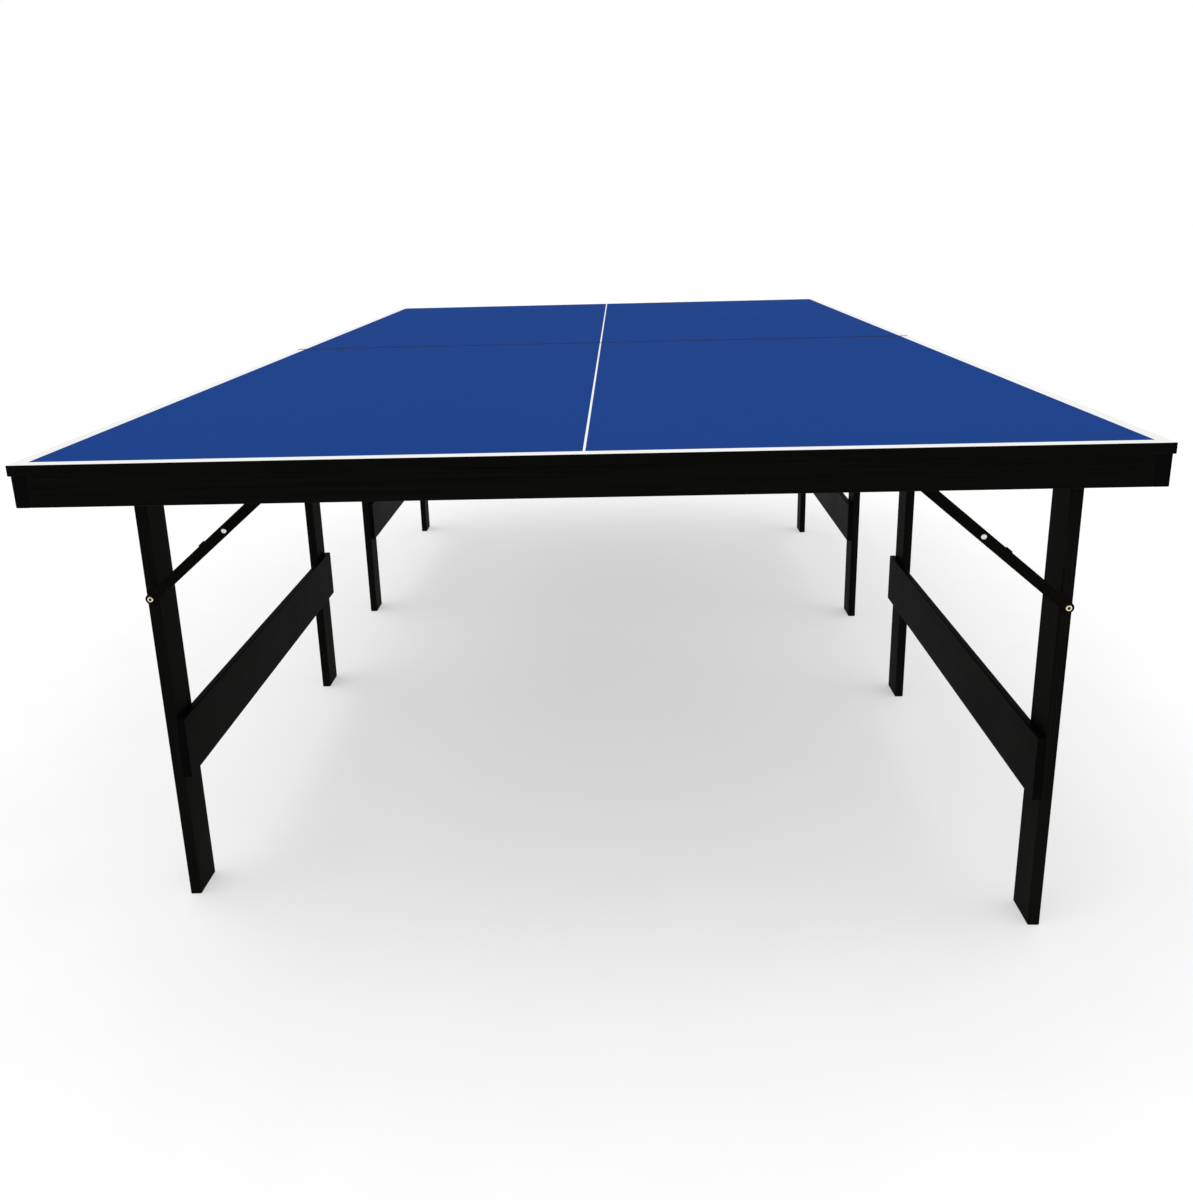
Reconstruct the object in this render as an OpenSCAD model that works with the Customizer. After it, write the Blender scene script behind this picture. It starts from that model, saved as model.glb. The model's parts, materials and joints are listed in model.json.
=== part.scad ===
// Table tennis table made as two free-standing halves pushed together.
// Each half is a panel on a shallow wooden apron. A two-leg frame is hinged along each
// side and folds inwards under the panel, and two flat steel braces lock it upright.
// Origin: centre of the whole table on the floor. X across, Y along, Z up.
// The left and right frames are set apart along Y, so that their legs pass each other
// when they are folded.

/* [Playing surface] */
// Length of the whole playing surface, along Y
table_l = 2740; // [2700:10:2900]
// Width of the playing surface, along X
table_w = 1525; // [1500:5:1600]
// Height of the playing surface above the floor
table_h = 760; // [740:5:780]
// Thickness of the panel
top_t = 15; // [12:1:18]
// Gap between the two halves' panels
seam_gap = 3; // [1:0.5:5]

/* [Apron] */
// Height of the apron rails below the panel
apron_h = 44; // [40:1:60]
// Thickness of the apron rails
apron_t = 20; // [15:1:20]
// Distance from the panel's edge back to the apron's outer face
apron_inset = 3; // [2:1:9]

/* [Leg frames] */
// Distance from the panel's side edge to the outer face of the legs
leg_inset = 86.5; // [60:0.5:100]
// Thickness of a leg, across the table
leg_t = 18; // [18:1:20]
// Width of a leg, along the table
leg_w = 66; // [60:1:70]
// Length of a leg frame along the table, over both legs
frame_span = 908; // [880:1:940]
// Distance from the half's near end to the left frame
left_start = 163; // [152:1:200]
// Distance from the half's near end to the right frame
right_start = 60; // [52:1:70]
// Height of the stretcher's lower edge above the floor
stretcher_z = 214; // [150:1:300]
// Height of the stretcher board
stretcher_h = 101; // [80:1:130]
// Thickness of the stretcher board and of the hinge rail
rail_t = 12; // [12:1:14]
// Height of the hinge rail that joins the leg tops
hinge_rail_h = 38; // [36:1:60]

/* [Hinges] */
// Length of a butt hinge
hinge_l = 60; // [50:1:66]
// Thickness of a hinge leaf
leaf_t = 2; // [1.5:0.1:2]
// Width of a hinge leaf, from the pin's axis
leaf_w = 30; // [20:1:32]
// Radius of the hinge knuckles
knuckle_r = 3.5; // [3.2:0.1:3.5]
// Radius of the hinge pin
pin_r = 1.5; // [1:0.1:1.5]

/* [Braces] */
// Height of the screw that holds the brace to the leg
brace_screw_z = 516; // [500:1:540]
// Width of the flat brace bars
brace_w = 16; // [14:1:17]
// Thickness of the flat brace bars and of the bracket
brace_t = 2.5; // [2:0.1:2.5]
// How far the upper bar runs past the joint, over the lower bar
lap_l = 46; // [35:1:60]
// Length of the stop lip on the lap's upper edge
lip_l = 10; // [6:1:14]

/* [Hidden] */
$fn = 64;
HALVES = ["front", "back"];
SIDES = ["left", "right"];
HALF_PARTS = [
    "top_panel", "end_rail", "net_rail", "left_side_rail", "right_side_rail",
    "hinge_fixed_leaves", "hinge_pins", "brace_brackets", "brace_bracket_rivets",
    "panel_screws"
];
FRAME_PARTS = [
    "leg_1", "leg_2", "stretcher", "hinge_rail", "frame_screws", "hinge_moving_leaves",
    "brace_leg_screws", "lower_braces", "upper_braces", "brace_joint_rivets"
];

half_l = table_l / 2;
panel_l = half_l - seam_gap / 2;
under_z = table_h - top_t;                      // underside of the panel
apron_w = table_w - 2 * apron_inset;
apron_l = panel_l - 2 * apron_inset;

leg_x = table_w / 2 - leg_inset - leg_t;        // inner face of a leg
rail_x = leg_x - rail_t;                        // inner face of the stretcher and hinge rail
axis_drop = knuckle_r + 0.4;                    // hinge axis to panel, and to hinge rail
hinge_x = rail_x - axis_drop;
hinge_z = under_z - axis_drop;
knuckle_gap = 0.5;
leaf_edge = knuckle_r + 0.8;                    // leaf's edge, clear of the other leaf's knuckle
third = hinge_l / 3;                            // length of one knuckle with its gap
pin_stand = 0.5;                                // how far each end of a pin stands proud
screw_side = 6.5;                               // brace screw's axis to the leg's outer face

// The brace is straight when the frame is upright. The bracket's pivot is set just above
// the place that the leg screw reaches when the frame is folded, so equal bars fold flat.
screw_x = leg_x + leg_t - screw_side;
pivot_drop = 16;
bracket_x = hinge_x - (hinge_z - brace_screw_z);
bracket_z = hinge_z - (screw_x - hinge_x) + pivot_drop;
brace_run = screw_x - bracket_x;
brace_rise = bracket_z - brace_screw_z;
brace_angle = atan2(brace_rise, brace_run);
bar_l = norm([brace_run, brace_rise]) / 2;      // length of each bar between its pivots

// Layers of the brace, counted outwards from the leg's face
layer_gap = 0.4;
lower_y = 0.3;
upper_y = lower_y + brace_t + layer_gap;
ear_y = upper_y + brace_t + layer_gap;
ear_r = 9;
flange_w = 14;
flange_l = 46;
rivet_r = 3;
rivet_head_r = 4.2;
rivet_head_t = 1.6;
lip_h = 1.5;                                    // how far the stop lip stands above the bar
lip_clear = 0.3;                                // lip's turned-in edge to the lower bar
running = 0.05;                                 // radial clearance of a pivot
join = 0.1;                                     // overlap that makes two shapes one solid
leg_screw_depth = 26;
screw_head_r = 4.5;
screw_head_t = 1.8;
recess_r = 2;
recess_floor = 0.4;
wood_screw_r = 2;
wood_screw_head_r = 4.5;
countersink = 2.5;
wood_screw_tip = 2;                             // wood left in front of a wood screw's end
panel_bite = 9;                                 // how far an apron screw enters the panel
small_screw_l = 12;
small_screw_r = 1.6;
small_screw_head_r = 3.2;
small_countersink = 1.6;

wood_black = [0.06, 0.06, 0.06];
steel_black = [0.09, 0.085, 0.08];
zinc = [0.78, 0.76, 0.70];

function half_y(h) = h == "front" ? -half_l : 0;
function frame_start(s) = s == "left" ? left_start : right_start;
function near_end(h) = h == "front" ? 0 : half_l - panel_l;

// Places a frame's own space: Y = 0 at the frame's near face, X as on the right side
module at_frame(h, s) {
    translate([0, half_y(h) + frame_start(s), 0])
        mirror([s == "left" ? 1 : 0, 0, 0])
            children();
}

// Repeats a piece of the near leg's outer face on the far leg's outer face
module both_legs() {
    children();
    translate([0, frame_span, 0]) mirror([0, 1, 0]) children();
}

// Puts a flat outline of X and Z into a layer that stands out from the leg's face
module layer(y, t) {
    translate([0, -y, 0]) rotate([90, 0, 0]) linear_extrude(t) children();
}

module bar(length) {
    translate([0, -brace_w / 2]) square([length, brace_w]);
    circle(brace_w / 2);
}

// ---- Screws ----

// Both screws point up, with the face of the head at Z = 0
module wood_screw(length, clear) {
    cylinder(h = length, r = wood_screw_r + clear);
    cylinder(h = countersink, r1 = wood_screw_head_r + clear, r2 = wood_screw_r + clear);
}

module small_screw(clear) {
    cylinder(h = small_screw_l, r = small_screw_r + clear);
    cylinder(h = small_countersink, r1 = small_screw_head_r + clear, r2 = small_screw_r + clear);
}

// Screws through the apron's lower edge: five in each cross rail, four in each side rail
module apron_screws(h, clear) {
    translate([0, half_y(h) + near_end(h) + apron_inset, under_z - apron_h]) {
        for (i = [-2:2]) for (y = [apron_t / 2, apron_l - apron_t / 2])
            translate([i * (apron_w - 2 * apron_t) / 5, y, 0])
                wood_screw(apron_h + panel_bite, clear);
        for (x = [-1, 1]) for (i = [0:3])
            translate([x * (apron_w - apron_t) / 2, (i + 0.5) * apron_l / 4, 0])
                wood_screw(apron_h + panel_bite, clear);
    }
}

// The three screws of a hinge leaf: X is the distance from the pin, Y runs along it
module leaf_screws(clear) {
    for (p = [[0.35, 0.18], [0.7, 0.5], [0.35, 0.82]])
        translate([leaf_edge + p[0] * (leaf_w - leaf_edge), p[1] * hinge_l, 0])
            small_screw(clear);
}

module fixed_leaf_screws(clear) {
    translate([0, 0, axis_drop - leaf_t]) mirror([1, 0, 0]) leaf_screws(clear);
}

module moving_leaf_screws(clear) {
    translate([axis_drop - leaf_t, 0, 0]) rotate([0, 90, 0]) leaf_screws(clear);
}

module bracket_screws(clear) {
    for (x = [-1, 1])
        translate([bracket_x + x * flange_l / 3, -ear_y - 0.55 * flange_w, under_z - brace_t])
            small_screw(clear);
}

// Every screw that is driven up into the panel
module panel_screws(h, clear) {
    apron_screws(h, clear);
    for (s = SIDES) at_frame(h, s) {
        at_hinges() fixed_leaf_screws(clear);
        both_legs() bracket_screws(clear);
    }
}

// ---- Half: panel and apron ----

module top_panel(h) {
    color([0.13, 0.27, 0.54]) difference() {
        translate([-table_w / 2, half_y(h) + near_end(h), under_z])
            cube([table_w, panel_l, top_t]);
        panel_screws(h, running);
    }
}

// The cross rails fit between the side rails
module cross_rail(h, y) {
    color(wood_black) difference() {
        translate([apron_t - apron_w / 2, half_y(h) + near_end(h) + y, under_z - apron_h])
            cube([apron_w - 2 * apron_t, apron_t, apron_h]);
        apron_screws(h, running);
    }
}

module outer_rail(h) {
    cross_rail(h, h == "front" ? apron_inset : panel_l - apron_inset - apron_t);
}

module inner_rail(h) {
    cross_rail(h, h == "front" ? panel_l - apron_inset - apron_t : apron_inset);
}

module side_rail(h, s) {
    x = s == "left" ? -apron_w / 2 : apron_w / 2 - apron_t;
    color(wood_black) difference() {
        translate([x, half_y(h) + near_end(h) + apron_inset, under_z - apron_h])
            cube([apron_t, apron_l, apron_h]);
        apron_screws(h, running);
    }
}

// ---- Leg frame ----

// Screws through each leg: two into the stretcher and one into the hinge rail
module leg_board_screws(clear) {
    for (y = [leg_w / 2, frame_span - leg_w / 2])
        for (z = [stretcher_z + stretcher_h / 4, stretcher_z + stretcher_h * 3 / 4,
                  under_z - hinge_rail_h / 2])
            translate([leg_x + leg_t, y, z]) rotate([0, -90, 0])
                wood_screw(leg_t + rail_t - wood_screw_tip, clear);
}

module leg(h, s, y) {
    color(wood_black) at_frame(h, s) difference() {
        translate([leg_x, y, 0]) cube([leg_t, leg_w, under_z]);
        leg_board_screws(running);
        both_legs()
            translate([screw_x, 0, brace_screw_z]) rotate([-90, 0, 0])
                cylinder(h = leg_screw_depth + running, r = rivet_r + running);
    }
}

module board(h, s, z, height) {
    color(wood_black) at_frame(h, s) difference() {
        translate([rail_x, 0, z]) cube([rail_t, frame_span, height]);
        leg_board_screws(running);
        at_hinges() moving_leaf_screws(running);
    }
}

module frame_screws(h, s) {
    color(steel_black) at_frame(h, s) {
        leg_board_screws(0);
        at_hinges() moving_leaf_screws(0);
    }
}

// ---- Hinges ----

// Places one hinge at the middle of each leg
module at_hinges() {
    for (y = [leg_w / 2, frame_span - leg_w / 2])
        translate([hinge_x, y - hinge_l / 2, hinge_z]) children();
}

module knuckle(from, to) {
    translate([0, from, 0]) rotate([-90, 0, 0]) difference() {
        cylinder(h = to - from, r = knuckle_r);
        translate([0, 0, -join]) cylinder(h = to - from + 2 * join, r = pin_r + running);
    }
}

module fixed_leaf() {
    translate([-leaf_w, 0, axis_drop - leaf_t]) cube([leaf_w - leaf_edge, hinge_l, leaf_t]);
    for (y = [0, hinge_l - third + knuckle_gap / 2]) {
        translate([-leaf_edge - join, y, axis_drop - leaf_t])
            cube([leaf_edge + join, third - knuckle_gap / 2, leaf_t]);
        knuckle(y, y + third - knuckle_gap / 2);
    }
}

module moving_leaf() {
    middle = third - knuckle_gap;
    from = third + knuckle_gap / 2;
    translate([axis_drop - leaf_t, 0, -leaf_w]) cube([leaf_t, hinge_l, leaf_w - leaf_edge]);
    translate([axis_drop - leaf_t, from, -leaf_edge - join])
        cube([leaf_t, middle, leaf_edge + join]);
    knuckle(from, from + middle);
}

module hinge_fixed_leaves(h) {
    color(steel_black) for (s = SIDES) at_frame(h, s) at_hinges() difference() {
        fixed_leaf();
        fixed_leaf_screws(running);
    }
}

module hinge_moving_leaves(h, s) {
    color(steel_black) at_frame(h, s) at_hinges() difference() {
        moving_leaf();
        moving_leaf_screws(running);
    }
}

module hinge_pins(h) {
    color(zinc) for (s = SIDES) at_frame(h, s) at_hinges()
        rotate([-90, 0, 0]) translate([0, 0, -pin_stand])
            cylinder(h = hinge_l + 2 * pin_stand, r = pin_r);
}

// ---- Braces ----

module at_bracket() {
    translate([bracket_x, bracket_z]) rotate(-brace_angle) children();
}

module lower_braces(h, s) {
    color(steel_black) at_frame(h, s) both_legs() layer(lower_y, brace_t)
        translate([screw_x, brace_screw_z]) rotate(180 - brace_angle) difference() {
            union() {
                bar(bar_l);
                translate([bar_l, 0]) circle(brace_w / 2);
            }
            circle(rivet_r + running);
            translate([bar_l, 0]) circle(rivet_r + running);
        }
}

module upper_braces(h, s) {
    color(steel_black) at_frame(h, s) both_legs() {
        layer(upper_y, brace_t) at_bracket() difference() {
            union() {
                bar(bar_l + lap_l);
                translate([bar_l + lap_l - lip_l, 0]) square([lip_l, brace_w / 2 + lip_h]);
            }
            circle(rivet_r + running);
            translate([bar_l, 0]) circle(rivet_r + running);
        }
        layer(lower_y, upper_y - lower_y) at_bracket()
            translate([bar_l + lap_l - lip_l, brace_w / 2 + lip_clear])
                square([lip_l, lip_h - lip_clear]);
    }
}

// The joint's head and shank stay in the upper bar, clear of the lower bar's hole
module brace_joint_rivets(h, s) {
    color(zinc) at_frame(h, s) both_legs() {
        layer(upper_y, brace_t) at_bracket() translate([bar_l, 0]) circle(rivet_r);
        layer(upper_y + brace_t, rivet_head_t) at_bracket()
            translate([bar_l, 0]) circle(rivet_head_r);
    }
}

module brace_leg_screws(h, s) {
    head_y = lower_y + brace_t + layer_gap / 2;
    color(zinc) at_frame(h, s) both_legs() translate([screw_x, 0, brace_screw_z]) difference() {
        union() {
            layer(-leg_screw_depth, leg_screw_depth + head_y) circle(rivet_r);
            layer(head_y, screw_head_t) circle(screw_head_r);
        }
        layer(head_y + recess_floor, screw_head_t) circle(recess_r);
    }
}

module brace_brackets(h) {
    color(steel_black) for (s = SIDES) at_frame(h, s) both_legs() {
        layer(ear_y, brace_t) difference() {
            translate([bracket_x, bracket_z]) {
                circle(ear_r);
                translate([-ear_r, 0]) square([2 * ear_r, under_z - bracket_z]);
            }
            translate([bracket_x, bracket_z]) circle(rivet_r + running);
        }
        difference() {
            translate([bracket_x - flange_l / 2, -ear_y - flange_w, under_z - brace_t])
                cube([flange_l, flange_w, brace_t]);
            bracket_screws(running);
        }
    }
}

module brace_bracket_rivets(h) {
    tail_y = upper_y - layer_gap / 2 - rivet_head_t;
    head_y = ear_y + brace_t;
    color(zinc) for (s = SIDES) at_frame(h, s) both_legs()
        translate([bracket_x, 0, bracket_z]) {
            layer(tail_y, head_y - tail_y + join) circle(rivet_r);
            layer(tail_y, rivet_head_t) circle(rivet_head_r);
            layer(head_y, rivet_head_t) circle(rivet_head_r);
        }
}

// ---- Nodes ----

for (h = HALVES) {
    top_panel(h);
    outer_rail(h);
    inner_rail(h);
    side_rail(h, "left");
    side_rail(h, "right");
    hinge_fixed_leaves(h);
    hinge_pins(h);
    brace_brackets(h);
    brace_bracket_rivets(h);
    color(steel_black) panel_screws(h, 0);
}

for (h = HALVES) for (s = SIDES) {
    n = str(h, "_", s);
    leg(h, s, 0);
    leg(h, s, frame_span - leg_w);
    board(h, s, stretcher_z, stretcher_h);
    board(h, s, under_z - hinge_rail_h, hinge_rail_h);
    frame_screws(h, s);
    hinge_moving_leaves(h, s);
    brace_leg_screws(h, s);
    lower_braces(h, s);
    upper_braces(h, s);
    brace_joint_rivets(h, s);
}
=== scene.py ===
"""Finishes and fine shapes for a folding table tennis table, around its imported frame.

Everything is in metres, with +Z up and the origin on the floor under the table's centre.
Places come from the frame's nodes. The constants below are the sizes that their boxes don't show.
"""

import json
import math

import bmesh
import bpy
from mathutils import Matrix, Vector


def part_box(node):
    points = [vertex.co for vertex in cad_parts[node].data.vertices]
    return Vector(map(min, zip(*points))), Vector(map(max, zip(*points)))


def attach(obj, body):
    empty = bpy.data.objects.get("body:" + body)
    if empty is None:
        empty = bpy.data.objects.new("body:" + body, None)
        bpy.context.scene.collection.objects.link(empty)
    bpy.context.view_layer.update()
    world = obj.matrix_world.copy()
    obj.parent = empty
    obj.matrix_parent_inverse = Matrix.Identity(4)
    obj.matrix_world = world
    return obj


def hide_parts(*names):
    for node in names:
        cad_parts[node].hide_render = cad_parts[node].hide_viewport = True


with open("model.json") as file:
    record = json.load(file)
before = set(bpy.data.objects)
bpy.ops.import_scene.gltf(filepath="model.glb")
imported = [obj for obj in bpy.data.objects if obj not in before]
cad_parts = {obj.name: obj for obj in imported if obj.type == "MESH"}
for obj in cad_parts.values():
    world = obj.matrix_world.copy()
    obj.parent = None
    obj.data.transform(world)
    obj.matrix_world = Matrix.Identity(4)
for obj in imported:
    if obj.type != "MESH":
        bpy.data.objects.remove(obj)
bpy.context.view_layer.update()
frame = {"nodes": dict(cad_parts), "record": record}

MM = 0.001
HALVES = ("front", "back")
SIDES = ("left", "right")
BODY_OF = {
    node: body
    for body, nodes in frame["record"]["behaviour"]["bodies"].items()
    for node in nodes
}

# Painted white lines
EDGE_LINE = 20 * MM
CENTRE_LINE = 3.5 * MM

# How far the panel edge's black paint is carried over the top beside the seam, as painted shade
# that darkens the seam as the shade of a wider gap would
SEAM_SHADE_BAND = 5 * MM

# Thickness of the brace bars, and of the heads on their pivots
BRACE_T = 2.5 * MM
RING_HEAD_T = 1.8 * MM
RIVET_HEAD_T = 1.6 * MM

# A screw wider than this over its head is one of the larger wood screws
LARGE_SCREW = 7 * MM

# How far each screw's cross recess is turned on from the last one's, in radians
RECESS_TURN = 0.7

# Rounding of each board: along its length, and at its sawn ends
LEG_ROUND = (2.6 * MM, 0.8 * MM)
STRETCHER_ROUND = (1.6 * MM, 0.8 * MM)
HINGE_RAIL_ROUND = (1.2 * MM, 0.8 * MM)
APRON_ROUND = (1.2 * MM, 0.6 * MM)

# Rounding of the panel, the hinge leaves, and the brace bars and brackets
PANEL_ROUND = 0.8 * MM
LEAF_ROUND = 0.3 * MM
BAR_ROUND = 0.35 * MM

# Points closer than this are the same point
SAME_POINT = 1e-6

# How much of a face's normal lies along an axis, where it counts as flat, as facing
# along that axis, or as part of a sawn end with its rounding
FLAT = 0.9999
FACING = 0.9
SAWN = 0.5

# Two faces of a plate that meet at more than this make a sharp edge
SHARP = math.radians(50)


# ---- Node materials ----


class Finish:
    """A Principled material, with short calls for the nodes that drive it."""

    def __init__(self, name, **constants):
        self.material = bpy.data.materials.new(name)
        self.material.use_nodes = True
        self.tree = self.material.node_tree
        self.shader = self.tree.nodes["Principled BSDF"]
        for socket, value in constants.items():
            self.shader.inputs[socket.replace("_", " ")].default_value = value
        self.place = self.tree.nodes.new("ShaderNodeTexCoord").outputs["Object"]

    def put(self, socket, source):
        """Feeds an input from another node's output, or sets it to a plain value."""
        if isinstance(source, bpy.types.NodeSocket):
            self.tree.links.new(source, socket)
        else:
            socket.default_value = source

    def stretched(self, scale):
        """Coordinates in the object's own space, scaled along each axis."""
        node = self.tree.nodes.new("ShaderNodeMapping")
        self.put(node.inputs["Vector"], self.place)
        node.inputs["Scale"].default_value = scale
        return node.outputs["Vector"]

    def noise(self, scale, detail=3.0, rough=0.5, warp=0.0):
        node = self.tree.nodes.new("ShaderNodeTexNoise")
        self.put(node.inputs["Vector"], self.stretched(scale))
        node.inputs["Scale"].default_value = 1.0
        node.inputs["Detail"].default_value = detail
        node.inputs["Roughness"].default_value = rough
        node.inputs["Distortion"].default_value = warp
        return node.outputs["Fac"]

    def cells(self, scale):
        node = self.tree.nodes.new("ShaderNodeTexVoronoi")
        self.put(node.inputs["Vector"], self.stretched(scale))
        node.inputs["Scale"].default_value = 1.0
        return node.outputs["Distance"]

    def spread(self, source, low, high, from_low=0.3, from_high=0.7):
        """Maps a source onto a range, held at both ends."""
        node = self.tree.nodes.new("ShaderNodeMapRange")
        for key, value in (
            ("Value", source),
            ("From Min", from_low),
            ("From Max", from_high),
            ("To Min", low),
            ("To Max", high),
        ):
            self.put(node.inputs[key], value)
        return node.outputs["Result"]

    def maths(self, operation, a, b):
        node = self.tree.nodes.new("ShaderNodeMath")
        node.operation = operation
        self.put(node.inputs[0], a)
        self.put(node.inputs[1], b)
        return node.outputs[0]

    def mixed(self, factor, a, b):
        """A colour between a and b."""
        node = self.tree.nodes.new("ShaderNodeMix")
        node.data_type = "RGBA"
        self.put(node.inputs["Factor"], factor)
        # The colour sockets share their names with others, so they are reached by number
        for socket, colour in ((node.inputs[6], a), (node.inputs[7], b)):
            self.put(socket, colour if isinstance(colour, bpy.types.NodeSocket) else (*colour, 1))
        return node.outputs[2]

    def edge_mask(self):
        """1 on the rounded edges of a piece, 0 on its flat faces."""
        node = self.tree.nodes.new("ShaderNodeAttribute")
        node.attribute_name = "edge"
        return node.outputs["Fac"]

    def bump(self, height, distance, strength=1.0, under=None):
        node = self.tree.nodes.new("ShaderNodeBump")
        node.inputs["Strength"].default_value = strength
        node.inputs["Distance"].default_value = distance
        self.put(node.inputs["Height"], height)
        if under is not None:
            self.put(node.inputs["Normal"], under)
        return node.outputs["Normal"]

    def finish(self, colour, roughness, normal):
        self.put(self.shader.inputs["Base Color"], colour)
        self.put(self.shader.inputs["Roughness"], roughness)
        self.put(self.shader.inputs["Normal"], normal)
        return self.material


def along(axis, fine, coarse):
    """A texture scale that is coarse along one axis and fine across it."""
    return tuple(coarse if i == axis else fine for i in range(3))


def toned(colour, tone):
    """A colour made paler by a factor."""
    return tuple(tone * level for level in colour)


def painted_wood(axis, gloss, tone):
    """Satin black paint, thin enough for the grain to show through along the board."""
    f = Finish(f"black_wood_{'xyz'[axis]}", Specular_IOR_Level=gloss)
    dark = toned((0.0022, 0.0022, 0.0018), tone)
    light = toned((0.0039, 0.0038, 0.0032), tone)
    streak = toned((0.0068, 0.0065, 0.0056), tone)
    grain = f.noise(along(axis, 420, 5), detail=5, rough=0.6, warp=0.4)
    figure = f.noise(along(axis, 60, 1.6), detail=3, warp=1.2)
    brush = f.noise(along(axis, 1500, 40), detail=2)
    patches = f.noise((9, 9, 9), detail=4)
    paint = f.mixed(f.spread(figure, 0, 1), dark, light)
    streaked = f.mixed(f.spread(grain, 0, 0.55, 0.45, 0.8), paint, streak)
    # Lighter patches on the rounded edges: partly wear, partly a painted highlight where light
    # catches the rounding
    lighter_edge_patches = f.maths("MULTIPLY", f.edge_mask(), f.spread(patches, 0, 0.5, 0.5, 0.75))
    colour = f.mixed(lighter_edge_patches, streaked, (0.013, 0.012, 0.010))
    roughness = f.maths(
        "ADD", f.spread(patches, 0.42, 0.47), f.spread(grain, -0.03, 0.06, 0.3, 0.8)
    )
    relief = f.bump(grain, 0.00022, 0.55)
    return f.finish(colour, roughness, f.bump(brush, 0.00006, 0.4, relief))


def painted_end_grain():
    """The sawn end of a board, which soaks up the paint and stays rougher and darker."""
    f = Finish("black_end_grain", Specular_IOR_Level=0.007)
    pores = f.cells((900, 900, 900))
    rings = f.noise((160, 160, 160), detail=3, warp=2.0)
    colour = f.mixed(f.spread(rings, 0, 1), (0.0018, 0.0018, 0.0019), (0.0031, 0.0031, 0.0033))
    roughness = f.spread(rings, 0.55, 0.72)
    return f.finish(colour, roughness, f.bump(pores, 0.00018, 0.5))


def table_paint(name, deep, light):
    """Matt sprayed paint with a very fine, even texture, as on a playing surface."""
    f = Finish(name, Specular_IOR_Level=0.001)
    spray = f.noise((1900, 1900, 1900), detail=2)
    clouds = f.noise((2.2, 2.2, 2.2), detail=4)
    tint = f.maths("ADD", f.spread(clouds, 0, 0.7), f.spread(spray, 0, 0.3, 0.35, 0.65))
    roughness = f.spread(clouds, 0.60, 0.70)
    return f.finish(f.mixed(tint, deep, light), roughness, f.bump(spray, 0.00004, 0.35))


def panel_edge_paint():
    """Black paint over the sawn edge of a particle board."""
    f = Finish("black_panel_edge", Specular_IOR_Level=0.012)
    chips = f.noise((520, 520, 900), detail=5, rough=0.7)
    patches = f.noise((14, 14, 14), detail=3)
    colour = f.mixed(f.spread(chips, 0, 1), (0.0019, 0.0019, 0.0016), (0.0034, 0.0033, 0.0028))
    lighter_edge_patches = f.maths("MULTIPLY", f.edge_mask(), f.spread(patches, 0, 0.5, 0.45, 0.75))
    colour = f.mixed(lighter_edge_patches, colour, (0.013, 0.012, 0.011))
    return f.finish(colour, f.spread(chips, 0.42, 0.58), f.bump(chips, 0.00020, 0.5))


def panel_underside_paint():
    """A thin black coat on the panel's underside, with the board's chips showing through."""
    f = Finish("black_panel_underside", Specular_IOR_Level=0.012)
    chips = f.cells((210, 150, 400))
    dust = f.noise((6, 6, 6), detail=5)
    dark, light = (0.0080, 0.0077, 0.0071), (0.0135, 0.0130, 0.0121)
    base = f.mixed(f.spread(chips, 0, 1, 0.1, 0.7), dark, light)
    colour = f.mixed(f.spread(dust, 0, 0.35, 0.5, 0.8), base, (0.0210, 0.0198, 0.0182))
    return f.finish(colour, f.spread(dust, 0.58, 0.74), f.bump(chips, 0.00015, 0.4))


def black_steel():
    """Black enamel on flat steel, slightly brown, and rubbed on its edges."""
    f = Finish("black_steel", Specular_IOR_Level=0.014)
    scale = f.noise((320, 320, 320), detail=4, rough=0.6)
    patches = f.noise((45, 45, 45), detail=3)
    base = f.mixed(f.spread(scale, 0, 1), (0.0020, 0.0018, 0.0013), (0.0038, 0.0034, 0.0027))
    lighter_edge_patches = f.maths("MULTIPLY", f.edge_mask(), f.spread(patches, 0, 0.6, 0.5, 0.7))
    colour = f.mixed(lighter_edge_patches, base, (0.016, 0.014, 0.012))
    return f.finish(colour, f.spread(scale, 0.30, 0.46), f.bump(scale, 0.00010, 0.35))


def bare_metal(name, clean, dull, low, high):
    """Plated steel with fine scratches and uneven tarnish."""
    f = Finish(name, Metallic=1.0)
    scratches = f.noise((2600, 300, 900), detail=3, warp=0.5)
    tarnish = f.noise((700, 700, 700), detail=4)
    colour = f.mixed(f.spread(tarnish, 0, 1, 0.4, 0.75), clean, dull)
    return f.finish(colour, f.spread(tarnish, low, high), f.bump(scratches, 0.00003, 0.4))


# One for each way that a board runs. The legs, which run along Z, are duller, and their paint is
# made paler as painted light, for more light falling on them
WOOD = [
    painted_wood(0, gloss=0.007, tone=1),
    painted_wood(1, gloss=0.006, tone=1),
    painted_wood(2, gloss=0.0038, tone=1.4),
]
END_GRAIN = painted_end_grain()
BLUE = table_paint("blue_table_paint", (0.0122, 0.0530, 0.2440), (0.0134, 0.0556, 0.2530))
WHITE = table_paint("white_line_paint", (0.86, 0.86, 0.85), (0.92, 0.92, 0.91))
PANEL_EDGE = panel_edge_paint()
UNDERSIDE = panel_underside_paint()
BLACK_STEEL = black_steel()
SCREW_STEEL = bare_metal("screw_steel", (0.085, 0.082, 0.078), (0.040, 0.036, 0.033), 0.34, 0.52)
ZINC = bare_metal("zinc_plate", (0.80, 0.79, 0.76), (0.60, 0.59, 0.56), 0.22, 0.42)
YELLOW_ZINC = bare_metal("yellow_zinc_plate", (0.86, 0.81, 0.62), (0.66, 0.57, 0.36), 0.20, 0.38)
# The inside of the ring screw's recess, coloured darker and browner than the head
DARK_RECESS = bare_metal("dark_recess_metal", (0.090, 0.066, 0.020), (0.040, 0.028, 0.010), 0.55, 0.80)


# ---- Making pieces ----


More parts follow.
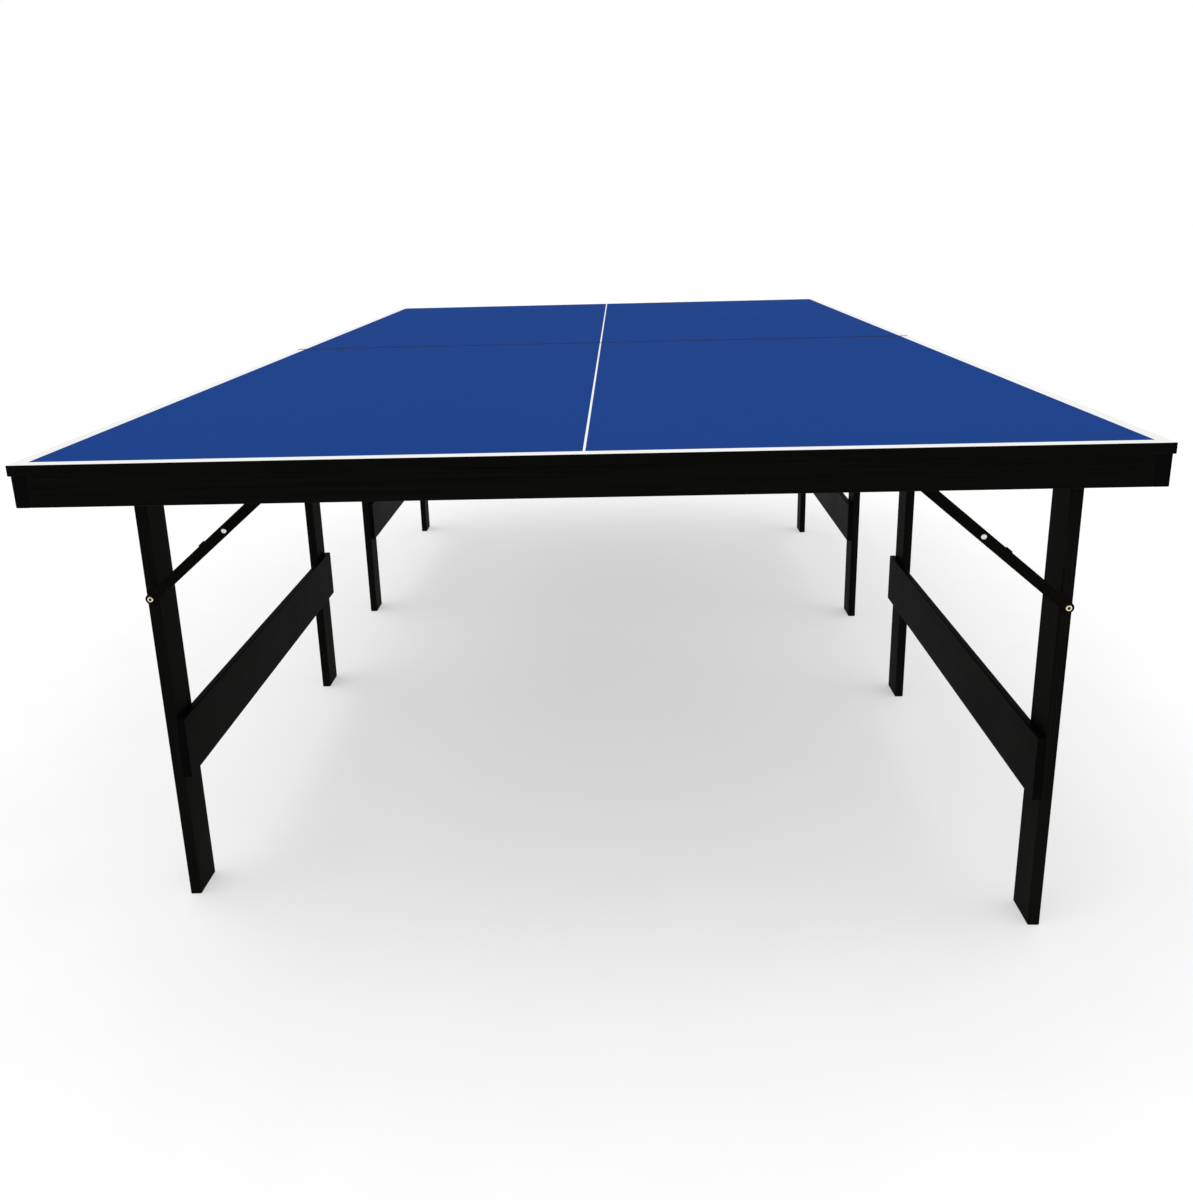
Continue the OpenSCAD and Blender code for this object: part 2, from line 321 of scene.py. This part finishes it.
def add_piece(name, bm, materials, body, slot, *nodes):
    """Turns a bmesh into a piece that rides on a body and stands for some CAD nodes."""
    mesh = bpy.data.meshes.new(name)
    bm.to_mesh(mesh)
    bm.free()
    for material in materials:
        mesh.materials.append(material)
    piece = bpy.data.objects.new(name, mesh)
    bpy.context.scene.collection.objects.link(piece)
    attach(piece, body)
    if nodes:
        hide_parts(*nodes)
    return piece


def box_mesh(lo, hi):
    bm = bmesh.new()
    bmesh.ops.create_cube(bm, size=1)
    bmesh.ops.scale(bm, vec=hi - lo, verts=bm.verts)
    bmesh.ops.translate(bm, vec=(lo + hi) / 2, verts=bm.verts)
    return bm


def round_edges(bm, edges, radius, segments):
    bmesh.ops.bevel(
        bm, geom=edges, offset=radius, segments=segments, profile=0.5, affect="EDGES"
    )


def mark_rounded(bm):
    """Smooths the rounded faces, and marks them for the materials' lighter edges: wear, which on
    the painted wood is also a painted highlight.
    """
    edge = bm.faces.layers.float.new("edge")
    for face in bm.faces:
        rounded = max(abs(c) for c in face.normal) < FLAT
        face.smooth = rounded
        face[edge] = float(rounded)


def runs_along(edge, axis):
    d = edge.verts[1].co - edge.verts[0].co
    return abs(d[axis]) > FACING * d.length


def make_board(node, rounding):
    """A wooden board in a node's box: eased along its length, crisper at its sawn ends."""
    long_radius, end_radius = rounding
    lo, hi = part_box(node)
    size = hi - lo
    axis = max(range(3), key=lambda i: size[i])
    bm = box_mesh(lo, hi)
    round_edges(bm, [e for e in bm.edges if runs_along(e, axis)], long_radius, 4)
    ends = [e for e in bm.edges if abs(e.verts[0].co[axis] - e.verts[1].co[axis]) < SAME_POINT]
    round_edges(bm, ends, end_radius, 2)
    mark_rounded(bm)
    for face in bm.faces:
        face.material_index = int(abs(face.normal[axis]) > SAWN)
    return add_piece(
        f"{node}_board", bm, (WOOD[axis], END_GRAIN), BODY_OF[node], "black_wood", node
    )


# ---- Panels ----


def make_panel(half):
    """A half's panel, with its painted field and lines as faces of their own."""
    materials = (BLUE, WHITE, PANEL_EDGE, UNDERSIDE)
    node = f"{half}_top_panel"
    lo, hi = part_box(node)
    bm = box_mesh(lo, hi)
    round_edges(bm, list(bm.edges), PANEL_ROUND, 3)
    if half == "front":
        end_line, seam_line = lo.y + EDGE_LINE, hi.y - SEAM_SHADE_BAND
    else:
        end_line, seam_line = hi.y - EDGE_LINE, lo.y + SEAM_SHADE_BAND
    cuts = [(Vector((x, 0, 0)), Vector((1, 0, 0))) for x in (
        lo.x + EDGE_LINE, -CENTRE_LINE / 2, CENTRE_LINE / 2, hi.x - EDGE_LINE
    )]
    cuts += [(Vector((0, y, 0)), Vector((0, 1, 0))) for y in (end_line, seam_line)]
    for point, normal in cuts:
        bmesh.ops.bisect_plane(
            bm,
            geom=[*bm.verts, *bm.edges, *bm.faces],
            dist=SAME_POINT,
            plane_co=point,
            plane_no=normal,
        )
    mark_rounded(bm)
    for face in bm.faces:
        centre = face.calc_center_median()
        past_end = centre.y < end_line if half == "front" else centre.y > end_line
        # Faces past seam_line take the edge's black paint: painted shade beside the seam
        past_seam = centre.y > seam_line if half == "front" else centre.y < seam_line
        across = abs(centre.x)
        on_line = across < CENTRE_LINE / 2 or across > hi.x - EDGE_LINE or past_end
        if face.normal.z < -FACING:
            paint = UNDERSIDE
        elif face.normal.z <= FACING or past_seam:
            paint = PANEL_EDGE
        else:
            paint = WHITE if on_line else BLUE
        face.material_index = materials.index(paint)
    return add_piece(f"{half}_painted_panel", bm, materials, BODY_OF[node], "blue_panel", node)


# ---- Flat steel ----


def islands(node):
    """The separate solids of a node, each as (lowest corner, highest corner)."""
    bm = bmesh.new()
    bm.from_mesh(frame["nodes"][node].data)
    bmesh.ops.remove_doubles(bm, verts=bm.verts, dist=SAME_POINT)
    unseen = set(bm.verts)
    boxes = []
    while unseen:
        stack = [unseen.pop()]
        found = []
        while stack:
            vert = stack.pop()
            found.append(vert.co.copy())
            for edge in vert.link_edges:
                other = edge.other_vert(vert)
                if other in unseen:
                    unseen.remove(other)
                    stack.append(other)
        lo = Vector(min(co[i] for co in found) for i in range(3))
        hi = Vector(max(co[i] for co in found) for i in range(3))
        boxes.append((lo, hi))
    bm.free()
    return sorted(boxes, key=lambda box: tuple(round(c, 4) for c in box[0]))


def make_plates(node, radius):
    """Black steel plates of the node's own outline, with their sheared edges broken."""
    bm = bmesh.new()
    bm.from_mesh(frame["nodes"][node].data)
    bmesh.ops.remove_doubles(bm, verts=bm.verts, dist=SAME_POINT)
    bmesh.ops.dissolve_limit(
        bm, angle_limit=math.radians(1), verts=bm.verts, edges=bm.edges, delimit={"NORMAL"}
    )
    sharp = [e for e in bm.edges if len(e.link_faces) == 2 and e.calc_face_angle() > SHARP]
    round_edges(bm, sharp, radius, 2)
    mark_rounded(bm)
    return add_piece(f"{node}_plate", bm, [BLACK_STEEL], BODY_OF[node], "black_steel", node)


# ---- Turned and stamped fasteners ----


def lathe(profile, steps=40):
    """Turns a profile of (radius, height) points round Z. It starts and ends on the axis."""
    bm = bmesh.new()
    rings = []
    for radius, height in profile:
        if radius == 0:
            rings.append([bm.verts.new((0, 0, height))])
            continue
        turn = [2 * math.pi * i / steps for i in range(steps)]
        rings.append(
            [bm.verts.new((radius * math.cos(a), radius * math.sin(a), height)) for a in turn]
        )
    for one, two in zip(rings, rings[1:]):
        for i in range(steps):
            j = (i + 1) % steps
            corners = [one[i % len(one)], one[j % len(one)], two[j % len(two)], two[i % len(two)]]
            bm.faces.new(list(dict.fromkeys(corners)))
    bmesh.ops.recalc_face_normals(bm, faces=bm.faces)
    for face in bm.faces:
        face.smooth = True
    return bm


def to_mesh(bm, name):
    mesh = bpy.data.meshes.new(name)
    bm.to_mesh(mesh)
    bm.free()
    return mesh


def carve(solid, cutter):
    """Cuts one bmesh out of another, and returns the mesh that is left."""
    objects = [
        bpy.data.objects.new(name, to_mesh(bm, name))
        for name, bm in (("carved", solid), ("cutter", cutter))
    ]
    for obj in objects:
        bpy.context.scene.collection.objects.link(obj)
    cut = objects[0].modifiers.new("cut", "BOOLEAN")
    cut.operation = "DIFFERENCE"
    cut.solver = "EXACT"
    cut.object = objects[1]
    evaluated = objects[0].evaluated_get(bpy.context.evaluated_depsgraph_get())
    mesh = bpy.data.meshes.new_from_object(evaluated)
    for obj in objects:
        bpy.data.objects.remove(obj)
    return mesh


def cross_cutter(reach, width, depth, top):
    """A plus-shaped punch that narrows as it goes down."""
    a, b = reach / 2, width / 2
    corner = [(a, -b), (a, b), (b, b)]
    outline = [
        (x * c - y * s, x * s + y * c)
        for c, s in ((1, 0), (0, 1), (-1, 0), (0, -1))
        for x, y in corner
    ]
    narrow = 0.55
    bm = bmesh.new()
    upper = [bm.verts.new((x, y, top)) for x, y in outline]
    lower = [bm.verts.new((x * narrow, y * narrow, top - depth)) for x, y in outline]
    bm.faces.new(upper)
    bm.faces.new(lower[::-1])
    for i in range(len(outline)):
        j = (i + 1) % len(outline)
        bm.faces.new((upper[j], upper[i], lower[i], lower[j]))
    bmesh.ops.recalc_face_normals(bm, faces=bm.faces)
    return bm


def cross_head(radius, dome, depth):
    """A countersunk screw with a low domed head and a cross recess. Its head faces +Z."""
    shank = radius * 0.45
    rim = 0.2 * MM
    clear = 0.2 * MM
    body = lathe([
        (0, dome), (radius * 0.35, dome * 0.94), (radius * 0.65, dome * 0.72),
        (radius * 0.88, dome * 0.34), (radius, 0), (radius, -rim),
        (shank, -rim - (radius - shank)), (shank, -depth), (0, -depth),
    ])
    cutter = cross_cutter(
        reach=radius * 1.15, width=radius * 0.26, depth=radius * 0.62, top=dome + clear
    )
    return carve(body, cutter)


def facing(place, direction):
    """Puts a fastener's head at a place, with its +Z along a direction."""
    turn = Vector(direction).to_track_quat("Z", "Y").to_matrix().to_4x4()
    return Matrix.Translation(place) @ turn


def make_fasteners(name, copies, materials, body, slot, *nodes):
    """Fasteners joined into one piece, from (master mesh, matrix) pairs, each turned anew."""
    bm = bmesh.new()
    for i, (master, matrix) in enumerate(copies):
        copy = master.copy()
        copy.transform(matrix @ Matrix.Rotation(i * RECESS_TURN, 4, "Z"))
        bm.from_mesh(copy)
        bpy.data.meshes.remove(copy)
    return add_piece(name, bm, materials, body, slot, *nodes)


WOOD_SCREW = cross_head(radius=4.5 * MM, dome=0.7 * MM, depth=6 * MM)
SMALL_SCREW = cross_head(radius=3.2 * MM, dome=0.8 * MM, depth=4 * MM)

MID_RIVET = to_mesh(lathe([
    (0, 1.05 * MM), (0.7 * MM, 1.1 * MM), (1.2 * MM, 1.45 * MM), (1.7 * MM, 1.6 * MM),
    (2.5 * MM, 1.5 * MM), (3.3 * MM, 1.15 * MM), (3.9 * MM, 0.65 * MM), (4.2 * MM, 0.15 * MM),
    (4.2 * MM, 0), (3 * MM, 0), (3 * MM, -2.4 * MM), (0, -2.4 * MM),
]), "mid_rivet")

DOME_RIVET = to_mesh(lathe([
    (0, 1.6 * MM), (1.2 * MM, 1.54 * MM), (2.3 * MM, 1.3 * MM), (3.3 * MM, 0.88 * MM),
    (4.0 * MM, 0.35 * MM), (4.2 * MM, 0), (3 * MM, 0), (3 * MM, -1 * MM), (0, -1 * MM),
]), "dome_rivet")

FLUSH_TAIL = to_mesh(lathe([
    (0, 0.12 * MM), (1.6 * MM, 0.11 * MM), (2.6 * MM, 0.05 * MM), (3 * MM, 0),
    (3 * MM, -2.3 * MM), (0, -2.3 * MM),
]), "flush_tail")


def ring_screw():
    """A round-headed leg screw with a rolled rim round a deep recess, whose inside is coloured
    darker and browner than the head.
    """
    recess_r, recess_floor, tail = 2.1 * MM, -0.5 * MM, -6 * MM
    bm = lathe([
        (0, recess_floor), (1.6 * MM, recess_floor), (1.95 * MM, -0.2 * MM), (recess_r, 0.9 * MM),
        (2.35 * MM, 1.5 * MM), (2.7 * MM, 1.77 * MM), (3.2 * MM, 1.8 * MM), (3.8 * MM, 1.5 * MM),
        (4.3 * MM, 0.9 * MM), (4.5 * MM, 0.3 * MM), (4.5 * MM, 0), (3 * MM, 0),
        (3 * MM, tail), (0, tail),
    ])
    for face in bm.faces:
        centre = face.calc_center_median()
        inside = math.hypot(centre.x, centre.y) < recess_r and centre.z > tail / 2
        # Faces inside the recess take the darker colour
        face.material_index = int(inside)
    return to_mesh(bm, "ring_screw")


RING_SCREW = ring_screw()


def make_screws(node, large_way, small_way):
    """Crossed heads for a node's screws. The large ones and the small ones face different ways."""
    copies = []
    for lo, hi in islands(node):
        size = hi - lo
        large = min(size) > LARGE_SCREW
        way = Vector(large_way if large else small_way)
        head = (lo + hi) / 2 + way * max(size) / 2
        copies.append((WOOD_SCREW if large else SMALL_SCREW, facing(head, way)))
    make_fasteners(f"{node}_heads", copies, [SCREW_STEEL], BODY_OF[node], "screw_steel", node)


def two_faced(master, lo, hi, depth):
    """Two copies at a box's near and far ends, facing outwards, with their rims at a depth."""
    x, z = (lo.x + hi.x) / 2, (lo.z + hi.z) / 2
    return [
        (master, facing((x, lo.y + depth, z), (0, -1, 0))),
        (master, facing((x, hi.y - depth, z), (0, 1, 0))),
    ]


# ---- The halves ----


def make_leg_frame(name):
    for part in ("leg_1", "leg_2"):
        make_board(f"{name}_{part}", LEG_ROUND)
    make_board(f"{name}_stretcher", STRETCHER_ROUND)
    make_board(f"{name}_hinge_rail", HINGE_RAIL_ROUND)
    make_plates(f"{name}_hinge_moving_leaves", LEAF_ROUND)

    outward = Vector((-1, 0, 0) if "left" in name else (1, 0, 0))
    make_screws(f"{name}_frame_screws", outward, -outward)

    node = f"{name}_brace_leg_screws"
    copies = two_faced(RING_SCREW, *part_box(node), RING_HEAD_T)
    materials = [YELLOW_ZINC, DARK_RECESS]
    make_fasteners(f"{node}_heads", copies, materials, BODY_OF[node], "brass_zinc", node)


def make_braces(name):
    lower, upper = f"{name}_lower_braces", f"{name}_upper_braces"
    for node in (lower, upper):
        make_plates(node, BAR_ROUND)

    node = f"{name}_brace_joint_rivets"
    joint_lo, joint_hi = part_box(node)
    copies = two_faced(MID_RIVET, joint_lo, joint_hi, RIVET_HEAD_T)
    make_fasteners(f"{node}_heads", copies, [ZINC], BODY_OF[node], "zinc", node)

    # The tails lie in the lower bars, flush with the faces that lie next to the leg
    x, z = (joint_lo.x + joint_hi.x) / 2, (joint_lo.z + joint_hi.z) / 2
    lo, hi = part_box(lower)
    copies = [
        (FLUSH_TAIL, facing((x, lo.y + BRACE_T, z), (0, 1, 0))),
        (FLUSH_TAIL, facing((x, hi.y - BRACE_T, z), (0, -1, 0))),
    ]
    make_fasteners(f"{name}_rivet_tails", copies, [ZINC], BODY_OF[lower], "zinc")


def make_half(half):
    make_panel(half)
    for part in ("end_rail", "net_rail", "left_side_rail", "right_side_rail"):
        make_board(f"{half}_{part}", APRON_ROUND)
    make_plates(f"{half}_hinge_fixed_leaves", LEAF_ROUND)
    make_plates(f"{half}_brace_brackets", BAR_ROUND)
    make_screws(f"{half}_panel_screws", (0, 0, -1), (0, 0, -1))

    pins = frame["nodes"][f"{half}_hinge_pins"]
    pins.data.materials.clear()
    pins.data.materials.append(ZINC)

    node = f"{half}_brace_bracket_rivets"
    copies = []
    for lo, hi in islands(node):
        copies += two_faced(DOME_RIVET, lo, hi, RIVET_HEAD_T)
    make_fasteners(f"{node}_heads", copies, [ZINC], BODY_OF[node], "zinc", node)


for half in HALVES:
    make_half(half)
    for side in SIDES:
        make_leg_frame(f"{half}_{side}")
        make_braces(f"{half}_{side}")


# ---- Floor, light and camera ----


def make_floor():
    """A wide pale disc, a hair below the feet. It glows a little, to stay pale all over."""
    radius, drop = 60, 0.3 * MM
    f = Finish("pale_floor", Specular_IOR_Level=0.0, Emission_Strength=0.50)
    f.shader.inputs["Emission Color"].default_value = (1, 1, 1, 1)
    specks = f.noise((6, 6, 6), detail=3)
    colour = f.mixed(f.spread(specks, 0, 1), (0.54, 0.54, 0.54), (0.56, 0.56, 0.56))
    bm = bmesh.new()
    bmesh.ops.create_circle(bm, cap_ends=True, segments=64, radius=radius)
    bmesh.ops.translate(bm, vec=(0, 0, -drop), verts=bm.verts)
    mesh = to_mesh(bm, "floor")
    mesh.materials.append(f.finish(colour, 0.9, f.bump(specks, 0.0001, 0.1)))
    floor = bpy.data.objects.new("floor", mesh)
    bpy.context.scene.collection.objects.link(floor)


def make_world():
    """A soft even glow. Seen directly, it is white, like the floor."""
    lighting, seen = 0.85, 1.0
    world = bpy.data.worlds.new("studio")
    bpy.context.scene.world = world
    world.use_nodes = True
    tree = world.node_tree
    background = tree.nodes["Background"]
    background.inputs["Color"].default_value = (1, 1, 1, 1)
    path = tree.nodes.new("ShaderNodeLightPath")
    strength = tree.nodes.new("ShaderNodeMapRange")
    strength.inputs["To Min"].default_value = lighting
    strength.inputs["To Max"].default_value = seen
    tree.links.new(path.outputs["Is Camera Ray"], strength.inputs["Value"])
    tree.links.new(strength.outputs["Result"], background.inputs["Strength"])


def add_light(name, kind, place, target, energy, **settings):
    """A lamp at a place, aimed at a target."""
    data = bpy.data.lights.new(name, kind)
    data.energy = energy
    for key, value in settings.items():
        setattr(data, key, value)
    light = bpy.data.objects.new(name, data)
    light.location = place
    light.rotation_mode = "QUATERNION"
    light.rotation_quaternion = (Vector(target) - Vector(place)).to_track_quat("-Z", "Y")
    bpy.context.scene.collection.objects.link(light)


def make_camera():
    """Just above the table's near end, looking along it and slightly down."""
    place = Vector((0.0520, -2.7673, 1.0485))
    pitch, roll, yaw = -0.2868, 0.0254, 0.0272
    data = bpy.data.cameras.new("camera")
    data.lens = 32.86
    data.sensor_width = 36
    data.shift_y = -0.0455
    data.clip_end = 200
    camera = bpy.data.objects.new("camera", data)
    turn = (
        Matrix.Rotation(yaw, 4, "Z")
        @ Matrix.Rotation(pitch, 4, "X")
        @ Matrix.Rotation(roll, 4, "Y")
        @ Matrix.Rotation(math.radians(90), 4, "X")
    )
    camera.matrix_world = Matrix.Translation(place) @ turn
    bpy.context.scene.collection.objects.link(camera)
    bpy.context.scene.camera = camera


make_floor()
make_world()
add_light("overhead", "SUN", (-1.5, 0.6, 4), (0, 0, 0), 0.55, angle=math.radians(50))
add_light("right_side", "AREA", (4.2, -1.2, 1.4), (0, 0, 0.4), 14, shape="DISK", size=2.6)
make_camera()
bpy.context.scene.view_settings.view_transform = "Standard"
